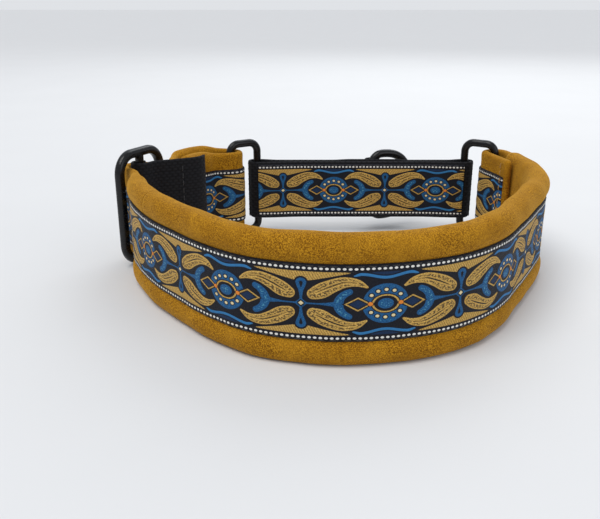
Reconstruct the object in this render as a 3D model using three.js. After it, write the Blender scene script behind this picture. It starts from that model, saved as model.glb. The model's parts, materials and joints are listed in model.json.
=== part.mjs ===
// Martingale collar: a padded velvet band faced with woven ribbon, a tri-glide slider, two rectangular
// rings and a webbing loop that carries a D-ring. Millimetres, +Z up. The collar stands on its edge: the
// floor is z = 0, the front of the band faces -Y and the loop closes the back at +Y. At the end the whole
// collar is moved so that its origin is the middle of its footprint.
import * as THREE from "three";

// ---- driving dimensions -----------------------------------------------------------------------------
const GAP = 0.3; // air between neighbouring layers

const BAND = { height: 39, thickness: 7.6, wall: 1.1, corner: 3.2, recess: 1.1 }; // padded velvet
const PADDING_CORNER = 0.9;
const FLAT = { height: 34, thickness: 3.2, wall: 0.7, corner: 1.2, recess: 0 }; // velvet without padding
const CORE = { height: 30, thickness: 1.2 }; // webbing inside the band
const RIBBON = { height: 23, thickness: 0.7 };
const FLAT_BASE = 4; // the unpadded stretches start this far above the floor

const WIRE = 3.2; // bars of the two rectangular rings
const RING = { width: 16.6, height: 42, corner: 4.2, edge: 1.1 };
const FOLD_RADIUS = 4.05; // middle of the band where it turns round a ring's bar

const SLIDER = { pitch: 12.2, bar: 3.4, height: 45, depth: 3.4, corner: 9, windowCorner: 2.5, edge: 1 };
const SLIDER_TURN = THREE.MathUtils.degToRad(64); // direction of the slider's long side, from +X
const SLIDER_CENTRE = [-71.9, 29.1];
const SLIDER_TRAVEL = 8;
const BAR_CLEARANCE = 0.7; // between the band's ribbon and the outer bar it passes
const BAND_OVER_BAR = 5.8; // from the centre bar to the band, clear of the tab wrapped round that bar

const LOOP = { centre: 16.5, half: 45.2, line: 65.5, height: 25, base: 7.2, web: 1.4, channel: 2.4 };
const MIDDLE = { centre: 22, half: 9 }; // stretch of loop that carries the D-ring

const D_RING = { height: 32, reach: 22, wire: 3.6, base: 3.5, edge: 1.2, turn: THREE.MathUtils.degToRad(17.83) };
const KEEPER = { height: 24, thickness: 1.2, leg: 2.6, foot: 5, clearance: 0.5 }; // holds the D-ring
const TAB = { height: 34.4, thickness: 1.3, base: 5, wrapClearance: 0.5, bandClearance: 0.6 };
const TACK = { width: 1.4, height: 0.5, lift: 0.12 }; // rows of stitching that stand proud of the cloth

const FLEX_GAP = 1; // break in the band at each of the two flexing lines
const ARM_GAP = 0.5; // break in the loop at each end of its two outer arms

const STEP_LENGTH = 4; // spacing of the stations along a padded stretch
const FLAT_STEP_LENGTH = STEP_LENGTH / 2.4; // and along the stretches that turn tightly

// ---- materials --------------------------------------------------------------------------------------
const finish = (color, roughness, metalness = 0) => () =>
  new THREE.MeshStandardMaterial({ color, roughness, metalness });
const velvet = finish(0xc48a22, 0.9);
const brocade = finish(0x27527a, 0.7);
const webbing = finish(0x17171a, 0.85);
const foam = finish(0xd9d4c6, 1);
const enamel = finish(0x101012, 0.3, 0.4);
const thread = finish(0xb9862c, 0.8);

const collar = new THREE.Group();

function add(name, geometry, material) {
  const mesh = new THREE.Mesh(geometry, material());
  mesh.name = name;
  collar.add(mesh);
  return mesh;
}

// ---- outlines ---------------------------------------------------------------------------------------
// A closed outline from corners [x, y, rounding].
function outline(corners, path = new THREE.Shape()) {
  corners.forEach(([x, y, rounding = 0], i) => {
    const corner = new THREE.Vector2(x, y);
    const towards = ([ox, oy]) =>
      new THREE.Vector2(ox, oy).sub(corner).setLength(rounding).add(corner);
    const enter = towards(corners.at(i - 1));
    const leave = towards(corners[(i + 1) % corners.length]);
    if (i === 0) path.moveTo(enter.x, enter.y);
    else path.lineTo(enter.x, enter.y);
    if (rounding > 0) path.quadraticCurveTo(x, y, leave.x, leave.y);
  });
  path.closePath();
  return path;
}

const rectangle = (x0, y0, x1, y1, rounding = 0) => [
  [x0, y0, rounding],
  [x1, y0, rounding],
  [x1, y1, rounding],
  [x0, y1, rounding],
];

// A section's anticlockwise corners are given as (out, up). A sweep carries x down and y inward, so a
// corner is placed at (-up, -out), in reverse order.
const section = (corners, path) =>
  outline(corners.map(([out, up, rounding]) => [-up, -out, rounding]).reverse(), path);

// ---- sweeps along level lines -----------------------------------------------------------------------
const levelCurve = (points) =>
  new THREE.CatmullRomCurve3(points.map(([x, y]) => new THREE.Vector3(x, y, 0)));

// The part of a curve between two lengths along it.
class Stretch extends THREE.Curve {
  constructor(curve, from, to) {
    super();
    this.curve = curve;
    this.from = from / curve.getLength();
    this.to = to / curve.getLength();
  }
  getPoint(t, target) {
    return this.curve.getPointAt(THREE.MathUtils.lerp(this.from, this.to, t), target);
  }
}

function sweep(shape, curve, stepLength = STEP_LENGTH) {
  const steps = Math.max(2, Math.ceil(curve.getLength() / stepLength));
  return new THREE.ExtrudeGeometry(shape, { steps, curveSegments: 3, extrudePath: curve });
}

// ---- places -----------------------------------------------------------------------------------------
const along = [Math.cos(SLIDER_TURN), Math.sin(SLIDER_TURN)]; // from the slider's near bar to its far bar
const outside = [-along[1], along[0]];
const atSlider = (u, w) => [
  SLIDER_CENTRE[0] + u * along[0] + w * outside[0],
  SLIDER_CENTRE[1] + u * along[1] + w * outside[1],
];

const ringTurn = THREE.MathUtils.degToRad(34); // slant of both rings against the loop
const barSpacing = RING.width - WIRE;
const ringDrop = barSpacing * Math.sin(ringTurn);
const ringRun = barSpacing * Math.cos(ringTurn);
const loopBar = { left: LOOP.centre - LOOP.half, right: LOOP.centre + LOOP.half };
const bandBar = {
  left: [loopBar.left - ringRun, LOOP.line - ringDrop],
  right: [loopBar.right + ringRun, LOOP.line - ringDrop],
};

// Points of the half turn the band makes round a ring's bar, anticlockwise from a starting angle in degrees.
function halfTurn([x, y], startDegrees) {
  return [0, 45, 90, 135, 180].map((step) => {
    const a = THREE.MathUtils.degToRad(startDegrees + step);
    return [x + FOLD_RADIUS * Math.cos(a), y + FOLD_RADIUS * Math.sin(a)];
  });
}

// ---- the band's middle line, anticlockwise from its tab end to its right end ------------------------
const bandPoints = [];
const landmark = {};
function run(name, points) {
  landmark[name] = bandPoints.length;
  bandPoints.push(...points);
}
const ribbonProud = GAP + RIBBON.thickness; // what the ribbon adds to the band's outer side
const bandBesideBar = FLAT.thickness / 2 + ribbonProud + SLIDER.bar / 2 + BAR_CLEARANCE; // from an outer bar
const roundBar = (u, radius, degrees) => degrees.map((d) => {
  const a = THREE.MathUtils.degToRad(d);
  return atSlider(u + radius * Math.cos(a), radius * Math.sin(a));
});
run("returnStart", [[-56, 40.4], [-52.8, 47], [-47.2, 52.3]]);
run("leftFold", halfTurn(bandBar.left, -90));
run("backLeft", [[-46.5, 62.6], [-55.2, 60], [-61, 53]]);
run("sliderExit", [[-61.9, 46.2], ...roundBar(SLIDER.pitch, bandBesideBar, [-52, -84, -128])]);
run("crest", roundBar(0, BAND_OVER_BAR, [44, 84, 122]));
run("sliderEntry", [[-72.3, 19.9]]);
run("leftSide", [[-69, 9.6], [-65.7, -0.5], [-56.4, -18.4]]);
run("leftFlex", [[-46.5, -31.5]]);
run("front", [[-36, -44], [-22, -55], [-2, -60.3], [18, -58.6], [35, -51.8]]);
run("rightFlex", [[48.5, -39.5]]);
run("rightSide", [[58, -24.5], [68.5, -6], [76.4, 10], [79.4, 26], [78.9, 42]]);
run("rightFold", halfTurn(bandBar.right, 12));
run("rightEnd", [[71.9, 45], [73.3, 36.5]]);
const band = levelCurve(bandPoints);

const STOPS_PER_POINT = 20;
band.arcLengthDivisions = (bandPoints.length - 1) * STOPS_PER_POINT;
const reach = (name, pointsOn = 0) => band.getLengths()[(landmark[name] + pointsOn) * STOPS_PER_POINT];

// ---- sections of the band ---------------------------------------------------------------------------
function coverSection(size, base) {
  const { thickness, height, wall, corner, recess } = size;
  const half = thickness / 2;
  const top = base + height;
  const lip = (height - RIBBON.height - recess) / 2 - GAP; // height of the velvet beside the ribbon
  const face = [
    [half, base, corner],
    [half, base + lip, recess / 2],
    [half - recess, base + lip + recess / 2],
    [half - recess, top - lip - recess / 2],
    [half, top - lip, recess / 2],
    [half, top, corner],
  ];
  const plain = [[half, base, corner], [half, top, corner]];
  const shape = section([[-half, base, corner], ...(recess > 0 ? face : plain), [-half, top, corner]]);
  const inner = rectangle(-half + wall, base + wall, half - recess - wall, top - wall, corner / 2);
  shape.holes.push(section(inner, new THREE.Path()));
  return shape;
}
const strip = (out, thickness, base, height) =>
  section(rectangle(out - thickness / 2, base, out + thickness / 2, base + height));

// The layers of a stretch: velvet cover, core webbing and the ribbon on the outer face.
function layers(name, size, from, to, coreFrom = from, coreTo = to) {
  const base = size === BAND ? 0 : FLAT_BASE;
  const middle = base + size.height / 2;
  const stepLength = size === BAND ? STEP_LENGTH : FLAT_STEP_LENGTH;
  const cover = new Stretch(band, from, to);
  add(`velvet_${name}`, sweep(coverSection(size, base), cover, stepLength), velvet);

  const outerWall = size.thickness / 2 - size.recess - size.wall;
  const coreOut = size === BAND ? outerWall - GAP - CORE.thickness / 2 : 0;
  const coreShape = strip(coreOut, CORE.thickness, middle - CORE.height / 2, CORE.height);
  add(`core_${name}`, sweep(coreShape, new Stretch(band, coreFrom, coreTo), stepLength), webbing);

  const ribbonOut = size.thickness / 2 - size.recess + GAP + RIBBON.thickness / 2;
  const ribbonShape = strip(ribbonOut, RIBBON.thickness, middle - RIBBON.height / 2, RIBBON.height);
  add(`ribbon_${name}`, sweep(ribbonShape, cover, stepLength), brocade);
}

function padding(name, from, to) {
  const back = -BAND.thickness / 2 + BAND.wall + GAP;
  const front = BAND.thickness / 2 - BAND.recess - BAND.wall - 2 * GAP - CORE.thickness;
  const low = BAND.wall + GAP;
  const shape = section(rectangle(back, low, front, BAND.height - low, PADDING_CORNER));
  add(`padding_${name}`, sweep(shape, new Stretch(band, from, to)), foam);
}

// ---- the band ---------------------------------------------------------------------------------------
const TONGUE = SLIDER_TRAVEL + 5; // core of the slider stretch that slides inside the side stretch
const TONGUE_ROOM = TONGUE + SLIDER_TRAVEL + 1;
const FOLD_LEG = 5; // straight run of thin band on each side of a fold
const RETURN_CLEARANCE = 3; // between the return layer's padded end and the fold
const SLIDER_LEAD = { before: 2, after: 3, gap: 1 }; // thin band before and after the slider's bars

const returnEnd = reach("leftFold") - FOLD_LEG - RETURN_CLEARANCE;
layers("return", BAND, reach("returnStart"), returnEnd);
padding("return", reach("returnStart"), returnEnd);

const leftFoldEnd = reach("leftFold", 4) + FOLD_LEG;
layers("left_fold", FLAT, reach("leftFold") - FOLD_LEG, leftFoldEnd);

const backLeftEnd = reach("sliderExit") - SLIDER_LEAD.before - SLIDER_LEAD.gap;
layers("back_left", BAND, leftFoldEnd + GAP, backLeftEnd);
padding("back_left", leftFoldEnd + GAP, backLeftEnd);

const passFrom = reach("sliderExit") - SLIDER_LEAD.before;
const passTo = reach("sliderEntry") + SLIDER_LEAD.after;
layers("slider_pass", FLAT, passFrom, passTo, passFrom, passTo + TONGUE);

const leftSideFrom = passTo + SLIDER_TRAVEL + GAP;
const leftSideTo = reach("leftFlex") - FLEX_GAP / 2;
layers("left_side", BAND, leftSideFrom, leftSideTo, leftSideFrom + TONGUE_ROOM, leftSideTo);
padding("left_side", leftSideFrom + TONGUE_ROOM, leftSideTo);

const frontFrom = reach("leftFlex") + FLEX_GAP / 2;
const frontTo = reach("rightFlex") - FLEX_GAP / 2;
layers("front", BAND, frontFrom, frontTo);
padding("front", frontFrom, frontTo);

const rightSideFrom = reach("rightFlex") + FLEX_GAP / 2;
const rightSideTo = reach("rightFold") - FOLD_LEG;
layers("right_side", BAND, rightSideFrom, rightSideTo);
padding("right_side", rightSideFrom, rightSideTo);
layers("right_fold", FLAT, rightSideTo + GAP, reach("rightEnd", 1));

// ---- tri-glide slider and its webbing tab -----------------------------------------------------------
// A flat frame standing on edge, with its outline in (along, up) and its thickness outward.
function standingFrame(corners, windows, depth, edge) {
  const shape = outline(corners);
  windows.forEach((w) => shape.holes.push(outline(w, new THREE.Path())));
  return standingPlate(shape, depth, edge, 4);
}

// A shape raised to stand on edge, with rounded edges, centred in its thickness.
function standingPlate(shape, depth, edge, curveSegments) {
  const geometry = new THREE.ExtrudeGeometry(shape, {
    depth: depth - 2 * edge,
    curveSegments,
    bevelThickness: edge,
    bevelSize: edge,
    bevelOffset: -edge,
    bevelSegments: 3,
  });
  geometry.translate(0, 0, edge - depth / 2);
  geometry.rotateX(Math.PI / 2);
  return geometry;
}

function stand(mesh, [x, y], turn, base) {
  mesh.position.set(x, y, base);
  mesh.rotation.z = turn;
  return mesh;
}

const halfSlider = SLIDER.pitch + SLIDER.bar / 2;
const windowTop = SLIDER.height - SLIDER.bar;
const slot = (from, to) => rectangle(from, SLIDER.bar, to, windowTop, SLIDER.windowCorner);
const sliderFrame = standingFrame(
  rectangle(-halfSlider, 0, halfSlider, SLIDER.height, SLIDER.corner),
  [
    slot(-SLIDER.pitch + SLIDER.bar / 2, -SLIDER.bar / 2),
    slot(SLIDER.bar / 2, SLIDER.pitch - SLIDER.bar / 2),
  ],
  SLIDER.depth,
  SLIDER.edge,
);
stand(add("slider_frame", sliderFrame, enamel), SLIDER_CENTRE, SLIDER_TURN, 0);

// The tab's sewn end lies inside the collar; it passes under the far bar and turns round the centre bar.
const wrap = SLIDER.bar / 2 + TAB.wrapClearance + TAB.thickness / 2;
const wrapPoints = [-112, -150, -190, -230, -270, -310, -350, -382].map((degrees) => {
  const a = THREE.MathUtils.degToRad(degrees);
  return atSlider(wrap * Math.cos(a), wrap * Math.sin(a));
});
const tabInside = bandBesideBar + FLAT.thickness / 2 + TAB.bandClearance + TAB.thickness / 2;
const TAB_END = [[-48.6, 43.5], [-50.9, 39]];
const TAB_STEP_LENGTH = 1.6;
const tabLine = levelCurve([
  ...TAB_END,
  atSlider(SLIDER.pitch - 3, -tabInside - TAB.bandClearance),
  atSlider(4.8, -tabInside + 3.4),
  ...wrapPoints,
]);
const upright = (thickness, base, height) =>
  section(rectangle(-thickness / 2, base, thickness / 2, base + height, 0.3));
add("slider_tab", sweep(upright(TAB.thickness, TAB.base, TAB.height), tabLine, TAB_STEP_LENGTH), webbing);

// ---- rectangular rings ------------------------------------------------------------------------------
function rectangularRing() {
  const { width, height, corner } = RING;
  return standingFrame(
    rectangle(-width / 2, 0, width / 2, height, corner),
    [rectangle(-width / 2 + WIRE, WIRE, width / 2 - WIRE, height - WIRE, corner - WIRE + 1)],
    WIRE,
    RING.edge,
  );
}
const between = ([x0, y0], [x1, y1]) => [(x0 + x1) / 2, (y0 + y1) / 2];
const leftLoopBar = [loopBar.left, LOOP.line];
const rightLoopBar = [loopBar.right, LOOP.line];
stand(add("left_ring", rectangularRing(), enamel), between(leftLoopBar, bandBar.left), ringTurn, 0);
stand(add("right_ring", rectangularRing(), enamel), between(rightLoopBar, bandBar.right), -ringTurn, 0);

// ---- martingale loop --------------------------------------------------------------------------------
// The inner run of webbing and its two turns round the rings' bars.
const webOut = LOOP.channel + LOOP.web / 2;
function loopTurn(x, startDegrees) {
  return [0, 45, 90, 135, 180].map((step) => {
    const a = THREE.MathUtils.degToRad(startDegrees + step);
    return [x + webOut * Math.cos(a), LOOP.line + webOut * Math.sin(a)];
  });
}
const innerFlat = [-0.95, -0.5, 0, 0.5, 0.95].map((share) => [
  LOOP.centre + share * (LOOP.half - 1),
  LOOP.line - webOut,
]);
const turnLeft = loopTurn(loopBar.left, 90);
const turnRight = loopTurn(loopBar.right, -90);
const innerLine = levelCurve([...turnLeft, ...innerFlat, ...turnRight]);
const webSection = upright(LOOP.web, LOOP.base, LOOP.height);
add("loop_web_inner", sweep(webSection, innerLine, 2), webbing);

// A straight piece standing on edge between two x positions, centred on y.
function block(name, x0, x1, y, thickness, base, height, material) {
  const geometry = new THREE.BoxGeometry(Math.abs(x1 - x0), thickness, height);
  const mesh = add(name, geometry, material);
  mesh.position.set((x0 + x1) / 2, y, base + height / 2);
  return mesh;
}
const ribbonBase = LOOP.base + (LOOP.height - RIBBON.height) / 2;
const ribbonOut = LOOP.channel + LOOP.web + GAP + RIBBON.thickness / 2;
const loopRibbon = (name, x0, x1, side) =>
  block(name, x0, x1, LOOP.line + side * ribbonOut, RIBBON.thickness, ribbonBase, RIBBON.height, brocade);
loopRibbon("loop_ribbon_inner", loopBar.left + 1, loopBar.right - 1, -1);

for (const [name, side] of [["left", -1], ["right", 1]]) {
  const hinge = MIDDLE.centre + side * (MIDDLE.half + ARM_GAP);
  const tip = LOOP.centre + side * (LOOP.half - ARM_GAP);
  block(`loop_web_${name}`, hinge, tip, LOOP.line + webOut, LOOP.web, LOOP.base, LOOP.height, webbing);
  loopRibbon(`loop_ribbon_${name}`, hinge, tip, 1);
}
const middleFrom = MIDDLE.centre - MIDDLE.half;
const middleTo = MIDDLE.centre + MIDDLE.half;
block("loop_web_middle", middleFrom, middleTo, LOOP.line + webOut, LOOP.web, LOOP.base, LOOP.height, webbing);

// ---- D-ring and the webbing that holds it -----------------------------------------------------------
const keeperInside = D_RING.wire / 2 + KEEPER.clearance;
const keeperBack = LOOP.line + LOOP.channel + LOOP.web + GAP; // where the keeper's feet lie
const dBarY = keeperBack + 2 * GAP + D_RING.wire / 2;
const keeperBase = LOOP.base + (LOOP.height - KEEPER.height) / 2;
const keeperRadius = keeperInside + KEEPER.thickness / 2;
const footY = keeperBack + KEEPER.thickness / 2;
const KEEPER_STEP_LENGTH = 1.3;
const BEND = { out: 0.2, up: 1 }; // where a foot turns up into the loop round the bar
const OVER_BAR = 0.7; // share of the radius that places the points half way over the bar
const halfKeeper = [
  [keeperRadius + KEEPER.foot, footY],
  [keeperRadius + KEEPER.leg, footY],
  [keeperRadius + BEND.out, footY + BEND.up],
  [keeperRadius, dBarY],
  [keeperRadius * OVER_BAR, dBarY + keeperRadius * OVER_BAR],
];
const keeperLine = levelCurve([
  ...halfKeeper.map(([x, y]) => [MIDDLE.centre + x, y]),
  [MIDDLE.centre, dBarY + keeperRadius],
  ...halfKeeper.map(([x, y]) => [MIDDLE.centre - x, y]).reverse(),
]);
const keeperShape = upright(KEEPER.thickness, keeperBase, KEEPER.height);
add("d_ring_keeper", sweep(keeperShape, keeperLine, KEEPER_STEP_LENGTH), webbing);

// The D stands on edge: its straight bar is upright at x = 0 and its bow reaches out along +X.
const BOW = { straight: 3.4, pull: 2, ease: 0.45 }; // run before the bow starts, and the bow's fullness
function dOutline(inset, path) {
  const half = D_RING.height / 2 - inset;
  const left = -D_RING.wire / 2 + inset;
  const right = D_RING.reach - D_RING.wire / 2 - inset;
  path.moveTo(left, -half);
  path.lineTo(left + BOW.straight, -half);
  path.bezierCurveTo(right - BOW.pull, -half, right, -half * BOW.ease, right, 0);
  path.bezierCurveTo(right, half * BOW.ease, right - BOW.pull, half, left + BOW.straight, half);
  path.lineTo(left, half);
  path.closePath();
  return path;
}
function dRing() {
  const shape = dOutline(0, new THREE.Shape());
  shape.holes.push(dOutline(D_RING.wire, new THREE.Path()));
  return standingPlate(shape, D_RING.wire, D_RING.edge, 10);
}
stand(add("d_ring", dRing(), enamel), [MIDDLE.centre, dBarY], D_RING.turn, D_RING.base + D_RING.height / 2);

// ---- rows of stitching ------------------------------------------------------------------------------
// A row across a swept layer, on the side to the right of the curve's travel.
function stitchRow(name, curve, share, out, base, height) {
  const at = curve.getPointAt(share);
  const travel = curve.getTangentAt(share);
  const away = out + TACK.lift + TACK.height / 2;
  const mesh = add(name, new THREE.BoxGeometry(TACK.width, TACK.height, height), thread);
  mesh.position.set(at.x + away * travel.y, at.y - away * travel.x, base + height / 2);
  mesh.rotation.z = Math.atan2(travel.y, travel.x);
}
const ribbonFace = FLAT.thickness / 2 + ribbonProud;
const END_MARGIN = 2; // from the band's right end to its row of stitches
const ROW_MARGIN = { band: 4, keeper: 1, tab: 2 }; // left free above and below a row
const KEEPER_ROW = 0.07; // share of the keeper's length before its first row
const TAB_ROW = 0.06;
const endRow = (reach("rightEnd", 1) - END_MARGIN) / band.getLength();
const bandRowHeight = FLAT.height - 2 * ROW_MARGIN.band;
stitchRow("right_end_stitching", band, endRow, ribbonFace, FLAT_BASE + ROW_MARGIN.band, bandRowHeight);

const keeperRowHeight = KEEPER.height - 2 * ROW_MARGIN.keeper;
const keeperRow = [KEEPER.thickness / 2, keeperBase + ROW_MARGIN.keeper, keeperRowHeight];
stitchRow("keeper_stitching_right", keeperLine, KEEPER_ROW, ...keeperRow);
stitchRow("keeper_stitching_left", keeperLine, 1 - KEEPER_ROW, ...keeperRow);

const tabInnerSide = -TAB.thickness / 2 - TACK.height - 2 * TACK.lift;
const tabRowHeight = TAB.height - 2 * ROW_MARGIN.tab;
stitchRow("tab_stitching", tabLine, TAB_ROW, tabInnerSide, TAB.base + ROW_MARGIN.tab, tabRowHeight);

// ---- origin at the middle of the footprint ----------------------------------------------------------
const footprint = new THREE.Box3().setFromObject(collar, true);
const middle = footprint.getCenter(new THREE.Vector3());
collar.position.set(-middle.x, -middle.y, -footprint.min.z);

export default collar;
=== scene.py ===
"""Looks for the martingale collar: velvet band, woven ribbon, webbing, hardware and stitching.

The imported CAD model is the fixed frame. Lengths in this script are millimetres until a mesh is made.
"""
import json
import math

import bmesh
import bpy
import numpy as np
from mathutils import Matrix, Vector


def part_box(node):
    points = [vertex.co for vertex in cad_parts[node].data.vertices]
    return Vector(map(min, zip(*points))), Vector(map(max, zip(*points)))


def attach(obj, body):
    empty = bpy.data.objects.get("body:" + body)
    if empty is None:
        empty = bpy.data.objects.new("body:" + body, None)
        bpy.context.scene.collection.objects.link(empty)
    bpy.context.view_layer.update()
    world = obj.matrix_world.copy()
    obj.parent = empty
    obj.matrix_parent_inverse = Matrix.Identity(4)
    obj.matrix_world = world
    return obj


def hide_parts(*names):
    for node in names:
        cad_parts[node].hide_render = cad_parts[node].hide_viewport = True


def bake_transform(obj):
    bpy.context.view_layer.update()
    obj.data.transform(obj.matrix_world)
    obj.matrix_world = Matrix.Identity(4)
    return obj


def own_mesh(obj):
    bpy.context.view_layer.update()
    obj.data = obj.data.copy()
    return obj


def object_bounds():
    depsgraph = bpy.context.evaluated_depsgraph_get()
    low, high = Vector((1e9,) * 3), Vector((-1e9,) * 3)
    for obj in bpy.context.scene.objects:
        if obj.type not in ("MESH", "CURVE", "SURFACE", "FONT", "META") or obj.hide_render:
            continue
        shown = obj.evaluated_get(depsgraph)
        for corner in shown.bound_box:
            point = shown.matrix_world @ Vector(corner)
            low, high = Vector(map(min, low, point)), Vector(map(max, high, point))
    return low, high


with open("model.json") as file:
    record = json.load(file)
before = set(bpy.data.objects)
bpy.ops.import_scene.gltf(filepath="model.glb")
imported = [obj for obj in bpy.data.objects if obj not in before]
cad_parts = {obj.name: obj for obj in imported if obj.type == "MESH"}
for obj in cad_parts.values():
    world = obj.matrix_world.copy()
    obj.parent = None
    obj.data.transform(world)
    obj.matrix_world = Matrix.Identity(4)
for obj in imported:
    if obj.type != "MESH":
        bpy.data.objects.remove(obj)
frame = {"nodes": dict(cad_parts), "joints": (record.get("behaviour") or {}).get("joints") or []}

cad_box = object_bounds()
MM = 0.001
TAU = 2 * math.pi

# ---- driving sizes ----
RIBBON_HEIGHT = 23.0
RIBBON_THICKNESS = 0.7
PATTERN_PERIOD = 44.7  # from one cross of the ribbon's pattern to the next
PATTERN_ORIGIN = -10.8  # a cross lies this far along the front of the band from its middle
DOT_LINE = 10.3  # height of the ribbon's dotted rows from its middle line
DOT_PITCH = 1.5
VELVET_STEP = 0.7
RIBBON_STEP = 0.3
WEB_STEP = 0.32
PADDING_RAMP = 11.0  # length over which the band fills out beside its thin stretches
THREAD_RADIUS = 0.16


# ---- small tools ----
def smooth(x, low, high):
    t = np.clip((x - low) / (high - low), 0, 1)
    return t * t * (3 - 2 * t)


def node_points(name):
    """The distinct vertices of a CAD node, in millimetres."""
    vertices = frame["nodes"][name].data.vertices
    flat = np.empty(len(vertices) * 3)
    vertices.foreach_get("co", flat)
    return np.unique(np.round(flat.reshape(-1, 3) / MM, 2), axis=0)


def node_box(name):
    low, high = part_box(name)
    return np.array(low) / MM, np.array(high) / MM


def joint_place(name):
    joint = next(j for j in frame["joints"] if j["name"] == name)
    return np.array(joint["pos_m"]) / MM


def flat_piece(name):
    """Plan centre, long direction, half length and thickness of a flat CAD piece that stands on edge."""
    plan = node_points(name)[:, :2]
    spread = plan - plan.mean(0)
    direction = np.linalg.svd(spread, full_matrices=False)[2][0]
    direction = direction if direction[0] > 0 else -direction
    normal = np.array([-direction[1], direction[0]])
    along, across = spread @ direction, spread @ normal
    centre = plan.mean(0) + direction * (along.max() + along.min()) / 2
    centre = centre + normal * (across.max() + across.min()) / 2
    return centre, direction, (along.max() - along.min()) / 2, across.max() - across.min()


def lengths(points):
    """Distance travelled along the points, up to each of them."""
    return np.concatenate([[0], np.cumsum(np.linalg.norm(np.diff(points, axis=0), axis=1))])


def smooth_curve(points, t, fine):
    """Places at the lengths fine on a smooth curve through points that lie at the lengths t."""
    slope = np.gradient(points, t, axis=0)
    i = np.clip(np.searchsorted(t, fine, side="right") - 1, 0, len(t) - 2)
    step = (t[i + 1] - t[i])[:, None]
    x = (fine - t[i])[:, None] / step
    return (
        (2 * x**3 - 3 * x**2 + 1) * points[i]
        + (x**3 - 2 * x**2 + x) * step * slope[i]
        + (3 * x**2 - 2 * x**3) * points[i + 1]
        + (x**3 - x**2) * step * slope[i + 1]
    )


class Line:
    """A level line in millimetres, travelled from its first point. Outward is to the right of travel."""

    def __init__(self, points, smoothing=1.0, spacing=0.25):
        points = np.asarray(points, float)
        t = lengths(points)
        dense = smooth_curve(points, t, np.arange(0, t[-1], spacing))
        reach = int(smoothing / spacing)
        if reach > 0:
            padded = np.concatenate([dense[:1].repeat(reach, 0), dense, dense[-1:].repeat(reach, 0)])
            window = np.ones(2 * reach + 1) / (2 * reach + 1)
            soft = np.stack([np.convolve(padded[:, k], window, "valid") for k in (0, 1)], axis=1)
            dense = np.where((np.arange(len(dense)) < reach)[:, None], dense, soft)
        self.xy = dense
        self.s = lengths(dense)
        self.length = self.s[-1]
        tangent = np.gradient(dense, self.s, axis=0)
        self.tangent = tangent / np.linalg.norm(tangent, axis=1)[:, None]

    def at(self, s):
        return np.stack([np.interp(s, self.s, self.xy[:, k]) for k in (0, 1)], axis=-1)

    def outward(self, s):
        t = np.stack([np.interp(s, self.s, self.tangent[:, k]) for k in (0, 1)], axis=-1)
        t /= np.linalg.norm(t, axis=-1)[..., None]
        return np.stack([t[..., 1], -t[..., 0]], axis=-1)

    def find(self, place):
        return self.s[np.argmin(np.linalg.norm(self.xy - np.asarray(place)[:2], axis=1))]


# ---- the band's middle line, from the velvet nodes ----
BAND_NODES = [
    "return", "left_fold", "back_left", "slider_pass", "left_side", "front", "right_side", "right_fold",
]
THIN_NODES = ["left_fold", "slider_pass", "right_fold"]


def floor_stations(node, width=0.0):
    """Middle points of a swept node's lowest face, one for each station of its sweep, in order.

    Points this width apart are taken as a pair across the face; without a width, the nearest two.
    """
    points = node_points(node)
    low = points[points[:, 2] < points[:, 2].min() + 0.05][:, :2]
    distance = np.linalg.norm(low[:, None] - low[None], axis=2)
    partner = (np.abs(distance - width) + np.eye(len(low)) * 1e6).argmin(1)
    pairs = [(i, j) for i, j in enumerate(partner) if i < j and partner[j] == i]
    middles = np.array([(low[i] + low[j]) / 2 for i, j in pairs])

    def walk(start):
        order, left, length = [start], set(range(len(middles))) - {start}, 0.0
        while left:
            gaps = {k: np.linalg.norm(middles[k] - middles[order[-1]]) for k in left}
            nearest = min(gaps, key=gaps.get)
            length += gaps[nearest]
            order.append(nearest)
            left.remove(nearest)
        return length, order

    return middles[min(walk(start) for start in range(len(middles)))[1]]


def spaced(places, gap):
    """Leaves out places nearer than the gap to the last one kept."""
    kept = [places[0]]
    for place in places:
        if np.linalg.norm(place - kept[-1]) > gap:
            kept.append(place)
    return kept


def band_line():
    """The middle line, and the lengths at which each node starts and ends."""
    runs = [floor_stations("velvet_" + name) for name in BAND_NODES]
    after = runs[1].mean(0)
    if np.linalg.norm(runs[0][0] - after) < np.linalg.norm(runs[0][-1] - after):
        runs[0] = runs[0][::-1]
    for i in range(1, len(runs)):
        last = runs[i - 1][-1]
        if np.linalg.norm(runs[i][-1] - last) < np.linalg.norm(runs[i][0] - last):
            runs[i] = runs[i][::-1]
    line = Line(spaced(np.concatenate(runs), 1.2), smoothing=1.5)
    spans = {name: (line.find(run[0]), line.find(run[-1])) for name, run in zip(BAND_NODES, runs)}
    return line, spans


band, spans = band_line()
band_box = node_box("velvet_front")
thin_box = node_box("velvet_slider_pass")
MIDDLE_HEIGHT = (band_box[0][2] + band_box[1][2]) / 2


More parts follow.
